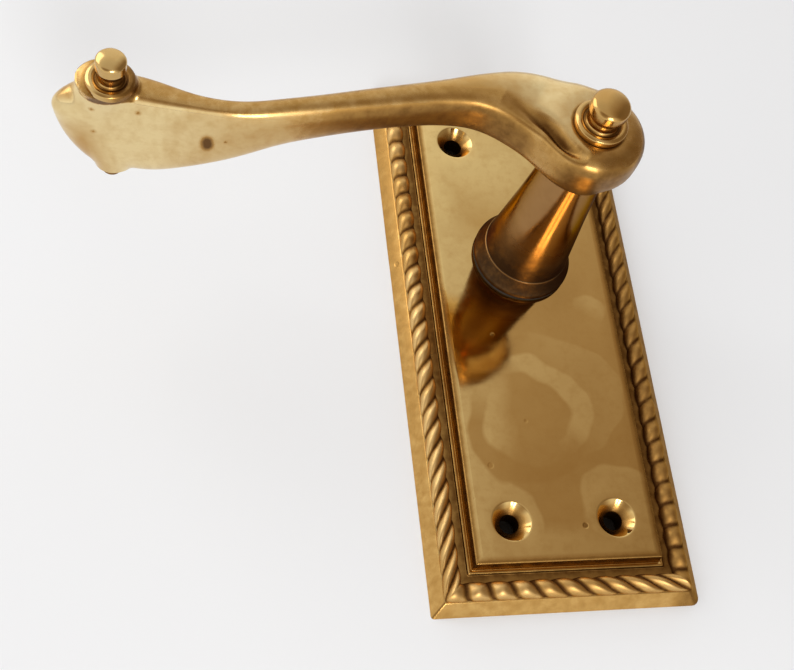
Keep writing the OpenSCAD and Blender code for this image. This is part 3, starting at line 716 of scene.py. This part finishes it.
def make_rope():
    """The rope moulding, one closed run with mitred corners; side 1, on the right, gets painted shade."""
    across, per_strand = 26, 18
    middle = EDGE_RUN + ROPE_W / 2
    points = []
    for side in range(4):
        sides = (PLATE_LEN, PLATE_W) if side % 2 else (PLATE_W, PLATE_LEN)
        half_along, half_across = (length / 2 - middle for length in sides)
        strands = round(2 * half_along / STRAND)
        steps = strands * per_strand
        for i in range(steps):
            for k in range(across + 1):
                points.append(rope_point(side, i / steps, math.pi * k / across, half_along, half_across, strands))
    verts, dirt_and_shade = zip(*points)
    faces = grid_faces(len(points) // (across + 1), across + 1, wrap_rows=True)
    return make_piece("rope_moulding", (verts, faces, dirt_and_shade), rope_brass, "plate", ["rope_edge"])


# ------------------------ lever, as a smooth solid
def arm_table(samples=480, spread=2.2):
    """The arm's rows as smooth functions of x: x, sway, half height, flare, taper, squareness."""
    rows = np.array(ARM_ROWS)
    last = len(rows) - 1
    t = np.linspace(0, last, samples)
    i = np.minimum(t.astype(int), last - 1)
    f = (t - i)[:, None]
    p0, p1, p2, p3 = rows[np.abs(i - 1)], rows[i], rows[i + 1], rows[np.minimum(i + 2, last)]
    values = p1 + 0.5 * f * (p2 - p0 + f * (2 * p0 - 5 * p1 + 4 * p2 - p3 + f * (3 * (p1 - p2) + p3 - p0)))
    share = 1 - (1 - ROOT_SHARE) * t / last
    x = -REACH * share
    step = x[1] - x[0]
    reach = int(3 * spread / step)
    kernel = np.exp(-0.5 * (np.arange(-reach, reach + 1) * step / spread) ** 2)
    kernel /= kernel.sum()
    padded = np.concatenate([values[reach:0:-1], values, np.repeat(values[-1:], reach, 0)])
    smooth = np.stack([np.convolve(padded[:, c], kernel, "valid") for c in range(values.shape[1])], 1)
    return x, smooth


ARM_X, ARM_VALUES = arm_table()


def softer_min(a, b, reach):
    """Smallest of two distances, with a fillet of about that reach between them."""
    h = np.clip(0.5 + 0.5 * (b - a) / reach, 0, 1)
    return b * (1 - h) + a * h - reach * h * (1 - h)


def softer_max(a, b, reach):
    """Largest of two distances, with a round of about that reach between them."""
    return -softer_min(-a, -b, reach)


def arm_field(x, y, z):
    """Rough distance from the arm's surface, with its round scroll end."""
    along = np.maximum(x, -REACH)
    sway, half, flare, taper, power = (np.interp(along, ARM_X, ARM_VALUES[:, c]) for c in range(5))
    half = half * WAIST_H / 2
    depth = (WAIST_D + (GRIP_D - WAIST_D) * flare) / 2
    middle = ARM_FACE - SCROLL_DROP * flare - depth
    dy = y - (RISE * (-along / REACH) + sway)
    dz = (z - middle) / depth
    v = np.clip(dz, -1, 1)
    swell = np.maximum(2.32 + 0.80 * v - 0.48 * v * v - 5 * np.maximum(v - 0.35, 0) ** 2, 1.1)
    dy = np.sign(dy) * np.hypot(dy, (x - along) / swell)
    lean = np.sign(dz) * np.minimum(np.abs(dz), 1.0) ** (power / 2)
    width = half * np.maximum(1 + taper * lean, 0.1)
    norm = (np.abs(dy / width) ** power + np.abs(dz) ** power) ** (1 / power)
    return softer_max((norm - 1) * np.minimum(width, depth), x - ARM_X[-1] + 1.2, ROOT_BLEND)


def hub_field(x, y, z):
    """Rough distance from the hub's drum."""
    r = np.hypot(x - 0.1, y - 0.2)
    middle = HUB_BACK + 0.5 * HUB_T
    dz = (z - middle) / (HUB_T / 2)
    power = np.where(dz > 0, 4.2, 2.5)
    norm = ((r / HUB_R) ** power + np.abs(dz) ** power) ** (1 / power)
    return (norm - 1) * HUB_T / 2


def cone_field(x, y, z, low, high, r_low, r_high):
    """Rough distance from an upright cone, with its lower and upper end and their radii."""
    r = np.hypot(x, y)
    share = np.clip((z - low) / (high - low), 0, 1)
    side = r - (r_low + (r_high - r_low) * share)
    return softer_max(side, np.maximum(low - z, z - high), 0.35)


def smooth_step(share):
    """0 to 1 with soft ends, clamped."""
    share = np.clip(share, 0, 1)
    return share * share * (3 - 2 * share)


def rounded_path(points, rounds=3):
    """The open path with its corners cut again and again."""
    for _ in range(rounds):
        cut = [points[0]]
        for (x0, y0), (x1, y1) in zip(points, points[1:]):
            cut += [(0.75 * x0 + 0.25 * x1, 0.75 * y0 + 0.25 * y1), (0.25 * x0 + 0.75 * x1, 0.25 * y0 + 0.75 * y1)]
        points = cut + [points[-1]]
    return points


CREASE_PATH = rounded_path(CREASE)


def crease_gap(x, y):
    """Distance to the crease's centre line in plan, and how far along it."""
    best = np.full(np.shape(x), 1e9)
    share = np.zeros(np.shape(x))
    pieces = len(CREASE_PATH) - 1
    for i in range(pieces):
        (x0, y0), (x1, y1) = CREASE_PATH[i], CREASE_PATH[i + 1]
        ux, uy = x1 - x0, y1 - y0
        t = np.clip(((x - x0) * ux + (y - y0) * uy) / (ux * ux + uy * uy), 0, 1)
        dx, dy = x - x0 - t * ux, y - y0 - t * uy
        gap = np.hypot(dx, dy)
        closer = gap < best
        best = np.where(closer, gap, best)
        share = np.where(closer, (i + t) / pieces, share)
    return best, share


def lever_field(p):
    """Rough distance from the lever's surface, and its level of painted shade, which darkens the hub's crease."""
    x, y, z = p[:, 0], p[:, 1], p[:, 2]
    solid = softer_min(arm_field(x, y, z), hub_field(x, y, z), HUB_BLEND)
    solid = softer_max(solid, z - HUB_FACE, FACE_BLEND)
    sx, sy = x + REACH, y - RISE
    collar = cone_field(sx + COLLAR_SIDE, 1.15 * (sy - 0.6), z, SCROLL_FACE - CONE_DEPTH, SCROLL_FACE, 1.0, 5.0)
    solid = softer_min(solid, collar, SCROLL_BLEND)
    nose = cone_field(sx - NOSE_SIDE, sy, z, SCROLL_BACK, SCROLL_BACK + CONE_DEPTH, 2.0, 1.0)
    solid = softer_min(solid, nose, SCROLL_BLEND)
    gap, share = crease_gap(x, y)
    front = np.clip((z - CREASE_LOW) / CREASE_FADE, 0, 1)
    fade = smooth_step(share / 0.35) * smooth_step((1 - share) / 0.6)
    groove = CREASE_DEPTH * np.exp(-((gap / (0.95 + 0.9 * share)) ** 2)) * front * fade
    # The crease's depth also paints shade into it.
    return solid + groove, np.clip(groove * 0.7, 0, 1)


def cell_points(values, low, pitch):
    """A point in each grid cell that the surface crosses, and each cell's number, or -1."""
    solid = values < 0
    corners = [(i, j, k) for i in (0, 1) for j in (0, 1) for k in (0, 1)]
    nx, ny, nz = (n - 1 for n in values.shape)
    filled = sum(solid[i:i + nx, j:j + ny, k:k + nz].astype(int) for i, j, k in corners)
    cells = (filled > 0) & (filled < 8)
    index = np.full(cells.shape, -1)
    index[cells] = np.arange(cells.sum())
    where = np.argwhere(cells)
    total = np.zeros((len(where), 3))
    hits = np.zeros(len(where))
    for corner in corners:
        for step in np.eye(3, dtype=int):
            if np.dot(corner, step):
                continue
            near, far = where + corner, where + corner + step
            a, b = values[tuple(near.T)], values[tuple(far.T)]
            crossing = (a < 0) != (b < 0)
            t = np.where(crossing, a / np.where(crossing, a - b, 1), 0)
            total += (near + t[:, None] * step) * crossing[:, None]
            hits += crossing
    return np.array(low) + pitch * total / hits[:, None], index


def cell_faces(solid, index):
    """A quad of cell numbers round each grid edge that goes through the surface."""
    faces = []
    for axis in range(3):
        u, v = np.delete(np.eye(3, dtype=int), axis, 0)
        edge = solid != np.roll(solid, -1, axis)
        np.moveaxis(edge, axis, 0)[-1] = False
        for at in np.argwhere(edge):
            around = [index[tuple(at - back)] for back in (0 * u, u, u + v, v)]
            if min(around) < 0:
                continue
            flip = bool(solid[tuple(at)]) == (axis == 1)
            faces.append(tuple(around if not flip else reversed(around)))
    return faces


def slope(field, p, h=0.02):
    """The field's gradient at each point of p."""
    steps = h * np.eye(3)
    return np.stack([(field(p + step)[0] - field(p - step)[0]) / (2 * h) for step in steps], 1)


def surface_of(field, low, high, pitch):
    """Quads on the surface where the field is zero, with the field's own normals and its level of painted shade."""
    counts = [int(math.ceil((h - l) / pitch)) + 1 for l, h in zip(low, high)]
    axes = [l + pitch * np.arange(n) for l, n in zip(low, counts)]
    gx, gy, gz = np.meshgrid(*axes, indexing="ij")
    values = field(np.stack([gx.ravel(), gy.ravel(), gz.ravel()], 1))[0].reshape(counts)
    verts, index = cell_points(values, low, pitch)
    faces = cell_faces(values < 0, index)
    for _ in range(5):
        g = slope(field, verts)
        move = field(verts)[0][:, None] * g / np.maximum((g * g).sum(1), 0.05)[:, None]
        verts = verts - np.clip(move, -pitch / 2, pitch / 2)
    g = slope(field, verts, 0.05)
    return verts, faces, g / np.linalg.norm(g, axis=1)[:, None], field(verts)[1]


def lever_tarnish_and_shade(verts, normals):
    """Dirt and painted shade at the foot of the buttons; painted shade on the hub's right rim, the lower side, the top
    and the front face, less of it on the flank above the crease; and the pits.
    """
    x, y, z = verts.T
    nx, ny, nz = normals.T
    from_hub, from_scroll = np.hypot(x, y), np.hypot(x + REACH, y - RISE)
    # Painted shade: by how each face is turned, and in the corners round the buttons; the pits are real marks.
    hub_foot = np.clip(1 - (from_hub - HUB_BASE_R) / 0.7, 0, 0.8) * (z > HUB_FACE - 1.5)
    scroll_foot = np.clip(1 - (from_scroll - SCROLL_BASE_R) / 0.5, 0, 0.8) * (z > SCROLL_FACE - 2.2)
    ring = np.clip(z - SCROLL_FACE + 1.4, 0, 1) * np.clip(1 - (from_scroll - SCROLL_BASE_R - 0.4) / 1.2, 0, 1)
    rim = smooth_step((nx - 0.3) / 0.45) * (x > 0)
    under = smooth_step((-ny - 0.45) / 0.4) * smooth_step((x + 78) / 35)
    above_crease = y - np.interp(x, *zip(*sorted(CREASE_PATH)))
    lighter_flank = smooth_step((above_crease - 1.0) / 2.0) * smooth_step((x + 45) / 15) * smooth_step((4 - x) / 6)
    top = smooth_step((nz - 0.45) / 0.35) * (1 - 0.75 * lighter_flank)
    along = 0.25 * smooth_step((x + 92) / 24) + 0.15 * smooth_step((x + 35) / 20)
    face = smooth_step((-ny - 0.1) / 0.4) * along
    levels = [hub_foot, scroll_foot, 0.6 * ring, 0.8 * rim, 0.7 * under, 0.42 * top, face]
    for pit_x, pit_z, half_x, half_z, strength in PITS:
        spot = np.exp(-(((x - pit_x) / half_x) ** 2) - ((z - pit_z) / half_z) ** 2)
        levels.append(strength * spot * (ny < -0.3))
    return np.maximum.reduce(levels)


def make_lever():
    """The lever's casting: hub, arm and scroll in one skin, kept inside the CAD node's box."""
    low = (-REACH - 11.5, -12.5, SCROLL_BACK - 1)
    high = (HUB_R + 1.5, RISE + 12.5, HUB_FACE + 1)
    verts, faces, normals, grime_and_shade = surface_of(lever_field, low, high, 0.42)
    verts = np.clip(verts, *(np.array(corner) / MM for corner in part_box("lever_arm")))
    patch = verts, faces, np.maximum(grime_and_shade, lever_tarnish_and_shade(verts, normals))
    return make_piece("lever_casting", patch, lever_brass, "lever", ["lever_arm"], normals)


# ------------------------ turned parts
def neck_profile():
    """Half section of journal, foot with its bowed skirt, and tapering neck, from the tail up."""
    top = FOOT_Z + FOOT_H
    flare = FOOT_R - FOOT_TOP_R
    bell = [
        (FOOT_R - flare * t**SKIRT_BOW, FOOT_Z + BAND_H + (FOOT_H - BAND_H) * t, 0.0)
        for t in (0.04, 0.12, 0.22, 0.34, 0.46, 0.58, 0.7, 0.82, 0.92)
    ]
    return rounded(
        [(TAIL_R - 0.2, DRIVE_TOP, 0), (JOURNAL_R, DRIVE_TOP, 0.1), (JOURNAL_R, FOOT_Z, 0.1), (FOOT_R, FOOT_Z, 0.45)]
        + bell
        + [
            (FOOT_TOP_R, top, 0.1),
            (NECK_LOW_R, top + 0.1, 0.05),
            ((NECK_LOW_R + NECK_TOP_R) / 2 - 0.12, (top + HUB_BACK) / 2, 0),
            (NECK_TOP_R, HUB_BACK - 0.02, 0.1),
            (4.0, HUB_BACK, 0),
        ],
        6,
    )


def neck_tarnish_and_shade(x, y, z):
    """How dark the neck is painted: painted shade on its right-hand side and at the bottom of its foot by the plate, a
    darker skirt, and a lighter line on the foot's top edge.
    """
    far = smooth_step((62 - abs(math.degrees(math.atan2(y, x)) + 12)) / 40)
    top = FOOT_Z + FOOT_H
    at_top_edge = abs(z - top) < 0.25
    return 0.9 * far + (0.35 if at_top_edge else 0.85 * (z < top)) + 0.6 * (z < FOOT_Z + 0.3)


def add_tail(build, steps, per_side=8):
    """The neck's tail with its two flats, and the square socket for the spindle."""
    tail = []
    for k in range(steps):
        a = 2 * math.pi * k / steps
        r = min(TAIL_R, TAIL_FLATS / 2 / max(abs(math.cos(a)), 1e-6))
        tail.append((r * math.cos(a), r * math.sin(a)))
    half = SOCKET_W / 2
    square = [(half, -half), (half, half), (-half, half), (-half, -half)]
    socket = []
    for (x0, y0), (x1, y1) in zip(square, square[1:] + square[:1]):
        socket += [(x0 + (x1 - x0) * k / per_side, y0 + (y1 - y0) * k / per_side) for k in range(per_side)]
    build.add(*wall(tail, TAIL_Z, DRIVE_TOP))
    build.add(*flat_face(tail, [socket], TAIL_Z, up=False))
    build.add(*wall(socket, TAIL_Z, TAIL_Z + SOCKET_DEPTH, outward=False))
    build.add(*flat_face(socket, [], TAIL_Z + SOCKET_DEPTH, up=False))


def make_neck():
    """The turned neck with its foot, its flatted tail and the square socket."""
    build = Builder()
    steps = 128  # round the lathed part and the tail alike, so that they weld
    verts, faces, grime_and_shade = lathe(neck_profile(), steps)
    build.add(verts, faces, [g + neck_tarnish_and_shade(*v) for v, g in zip(verts, grime_and_shade)])
    add_tail(build, steps)
    return make_piece("turned_neck", build.welded(), neck_brass, "lever", ["neck"])


def button_profile(head_r, base_r, height):
    """Ring, waisted post and domed head, from height 0."""
    ring = 0.22 * height
    low = 0.58 * height
    post = 0.82 * head_r
    dip = post + 0.4
    dome = 0.3 * head_r
    rim = height - dome
    points = [
        (base_r - 0.3, 0.0, 0),
        (base_r, 0.1, 0.1),
        (base_r, 0.8 * ring, 0.4),
        (base_r - 0.6, ring, 0.5),
        (dip + 0.7, ring, 0.4),
        (dip, 0.65 * ring, 0.2),
        (post, ring, 0.2),
        (post - 0.2, (ring + low) / 2, 1.2),
        (post, low - 0.1, 0.1),
        (head_r - 0.1, low, 0.1),
        (head_r, low + 0.3, 0.2),
        (head_r, rim, 0.4),
    ]
    crown = [
        (head_r * math.cos(math.radians(a)), rim + dome * math.sin(math.radians(a)), 0.0) for a in range(25, 90, 8)
    ]
    return rounded(points + crown + [(0.0, height, 0.0)], 5)


def make_button(name, node, head_r, base_r, height, x, y, z, right_shade):
    """A turned button, with dirt and painted shade in its creases and painted shade on the right of its ring and post,
    as strong as the last argument.
    """
    profile = [(r, z + h, bend) for r, h, bend in button_profile(head_r, base_r, height)]
    verts, faces, grime_and_shade = lathe(profile, 96, (x, y))
    low = 0.56 * height
    grime_and_shade = [
        g + right_shade * float(smooth_step((v[0] - x) / base_r + 0.5)) * (abs(v[2] - z) < low) for v, g in zip(verts, grime_and_shade)
    ]
    patch = Builder().add(verts, faces, grime_and_shade).welded(1e-4)
    return make_piece(name, patch, button_brass, "lever", [node])


def make_buttons():
    """The two buttons in front and the small nub behind the scroll."""
    make_button("hub_finial", "hub_button", 4.0, HUB_BASE_R, 7.8, 0.0, 0.0, HUB_FACE, 0.3)
    make_button("scroll_finial", "scroll_front_button", 2.85, SCROLL_BASE_R, 7.2, -REACH, RISE, SCROLL_FACE, 0.7)
    r = 2.0
    profile = rounded([(r - 0.3, 0, 0), (r, -0.35, 0.3), (r, -1.6, 0.8), (r * 0.7, -2.35, 0.6), (0, -2.6, 0)], 6)
    profile = [(pr, SCROLL_BACK + pz, bend) for pr, pz, bend in profile]
    patch = Builder().add(*lathe(profile, 64, (NOSE_SIDE - REACH, RISE))).welded(1e-4)
    return make_piece("scroll_nub", patch, button_brass, "lever", ["scroll_back_button"])


def make_bush():
    """The nylon sleeve, whose flange shows as a dark line under the neck's foot."""
    low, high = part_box("bush")
    inner, outer, flange = JOURNAL_R + 0.05, BUSH_R, high.x / MM
    z0, z1 = low.z / MM, high.z / MM
    profile = rounded(
        [
            (inner, z0, 0), (outer - 0.1, z0, 0), (outer, z0 + 0.1, 0), (outer, PANEL_H, 0),
            (flange, PANEL_H, 0.05), (flange, z1, 0.15), (inner, z1, 0.05), (inner, z0, 0),
        ],
        3,
    )
    patch = Builder().add(*lathe(profile)).welded()
    return make_piece("neck_bush", patch, dark_nylon, "plate", ["bush"])


def paint_cad(material, *nodes):
    """Gives carried-over CAD nodes their material."""
    for node in nodes:
        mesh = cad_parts[node].data
        mesh.materials.clear()
        mesh.materials.append(material)


make_backplate()
make_rope()
make_lever()
make_neck()
make_buttons()
make_bush()
paint_cad(dark_nylon, "friction_washer")
paint_cad(case_steel, "drive_washer", "cover_plate", "cover_screws")
paint_cad(spring_steel, "circlip", "return_spring")


# ------------------------ floor, light and camera
def make_floor():
    """A plain pale floor, with a painted shadow, nearly black, under the plate's hollow back."""
    mesh = bpy.data.meshes.new("floor")
    grid = bmesh.new()
    bmesh.ops.create_grid(grid, x_segments=4, y_segments=4, size=3.0)
    grid.to_mesh(mesh)
    grid.free()
    floor = bpy.data.objects.new("floor", mesh)
    bpy.context.scene.collection.objects.link(floor)
    material, tree, shader = new_material("floor")
    place = surface_place(tree)
    tone = mix_colour(tree, noise(tree, place, 3.0, 2), (0.86, 0.885, 0.92), (0.90, 0.92, 0.95))
    axes = tree.nodes.new("ShaderNodeSeparateXYZ")
    tree.links.new(place, axes.inputs["Vector"])
    # Painted shadow under the plate, seen only through the screw holes.
    shadow_under_plate = None
    for axis, middle, half in (("X", 0, PLATE_W / 2), ("Y", PLATE_MID_Y, PLATE_LEN / 2)):
        gap = math_node(tree, "ABSOLUTE", math_node(tree, "SUBTRACT", axes.outputs[axis], middle * MM), 0)
        under = ramp(tree, gap, (half - 6) * MM, (half - 4) * MM, 1.0, 0.0)
        shadow_under_plate = under if shadow_under_plate is None else math_node(tree, "MULTIPLY", shadow_under_plate, under)
    tone = mix_colour(tree, shadow_under_plate, tone, (0.02, 0.018, 0.015))
    tree.links.new(tone, shader.inputs["Base Color"])
    shader.inputs["Roughness"].default_value = 0.7
    shader.inputs["Specular IOR Level"].default_value = 0.2
    mesh.materials.append(material)


def make_world():
    """Soft room light: pale low down, duller and warmer overhead, dark to the right and round the viewer."""
    world = bpy.data.worlds.new("room")
    world.use_nodes = True
    bpy.context.scene.world = world
    tree = world.node_tree
    background = tree.nodes["Background"]
    place = tree.nodes.new("ShaderNodeTexCoord").outputs["Generated"]

    def facing(direction):
        dot = tree.nodes.new("ShaderNodeVectorMath")
        dot.operation = "DOT_PRODUCT"
        tree.links.new(place, dot.inputs[0])
        dot.inputs[1].default_value = direction
        return dot.outputs["Value"]

    height = tree.nodes.new("ShaderNodeValToRGB")
    tree.links.new(facing((0, 0, 1)), height.inputs["Fac"])
    stops = height.color_ramp
    stops.elements[0].position, stops.elements[0].color = 0.0, (1.05, 1.05, 1.05, 1)
    stops.elements[1].position, stops.elements[1].color = 1.0, (0.7, 0.7, 0.7, 1)
    for position, level in ((0.35, 1.05), (0.6, 1.0), (0.78, 0.94), (0.88, 0.79)):
        stop = stops.elements.new(position)
        stop.color = (level, level, level, 1)
    right = ramp(tree, facing((0.9, 0, 0.45)), 0.55, 0.86, 1.0, 0.3)
    viewer = ramp(tree, facing(Vector((-0.45, -0.5, 0.74)).normalized()), 0.85, 0.97, 1.0, 0.4)
    shade = math_node(tree, "MULTIPLY", right, viewer)
    light = math_node(tree, "MULTIPLY", shade, height.outputs["Color"])
    warm = mix_colour(tree, ramp(tree, light, 0.35, 0.75, 0.0, 1.0), (1.0, 0.78, 0.56), (1.0, 1.0, 1.0))
    seen = tree.nodes.new("ShaderNodeLightPath").outputs["Is Camera Ray"]
    tree.links.new(mix_colour(tree, seen, warm, (0.84, 0.845, 0.855)), background.inputs["Color"])
    tree.links.new(math_node(tree, "MAXIMUM", light, seen), background.inputs["Strength"])


def make_lamp(name, direction, distance, size, power):
    """Area lamp that looks at the object from a direction."""
    light = bpy.data.lights.new(name, "AREA")
    light.shape = "RECTANGLE"
    light.size, light.size_y = size
    light.energy = power
    lamp = bpy.data.objects.new(name, light)
    away = Vector(direction).normalized()
    lamp.location = Vector((-0.03, -0.02, 0.03)) + away * distance
    lamp.rotation_mode = "QUATERNION"
    lamp.rotation_quaternion = away.to_track_quat("Z", "Y")
    bpy.context.scene.collection.objects.link(lamp)


def make_camera():
    """The photograph's viewpoint, fitted to the plate, the neck and the buttons."""
    camera = bpy.data.objects.new("camera", bpy.data.cameras.new("camera"))
    camera.location = (-0.0996, -0.1422, 0.2500)
    camera.rotation_euler = [math.radians(a) for a in (27.23, -12.54, -6.21)]
    camera.data.sensor_width = 36
    camera.data.lens = 57.85
    camera.data.clip_start = 0.01
    bpy.context.scene.collection.objects.link(camera)
    bpy.context.scene.camera = camera


make_floor()
make_world()
make_lamp("window_left", (-0.05, -0.86, 0.58), 0.9, (0.11, 0.4), 1.35)
make_lamp("window_right", (0.13, -0.86, 0.58), 0.9, (0.11, 0.4), 1.35)
make_lamp("back_left", (-0.8, 0.75, 0.6), 0.6, (0.4, 0.4), 1.0)
make_camera()
bpy.context.scene.view_settings.view_transform = "Standard"
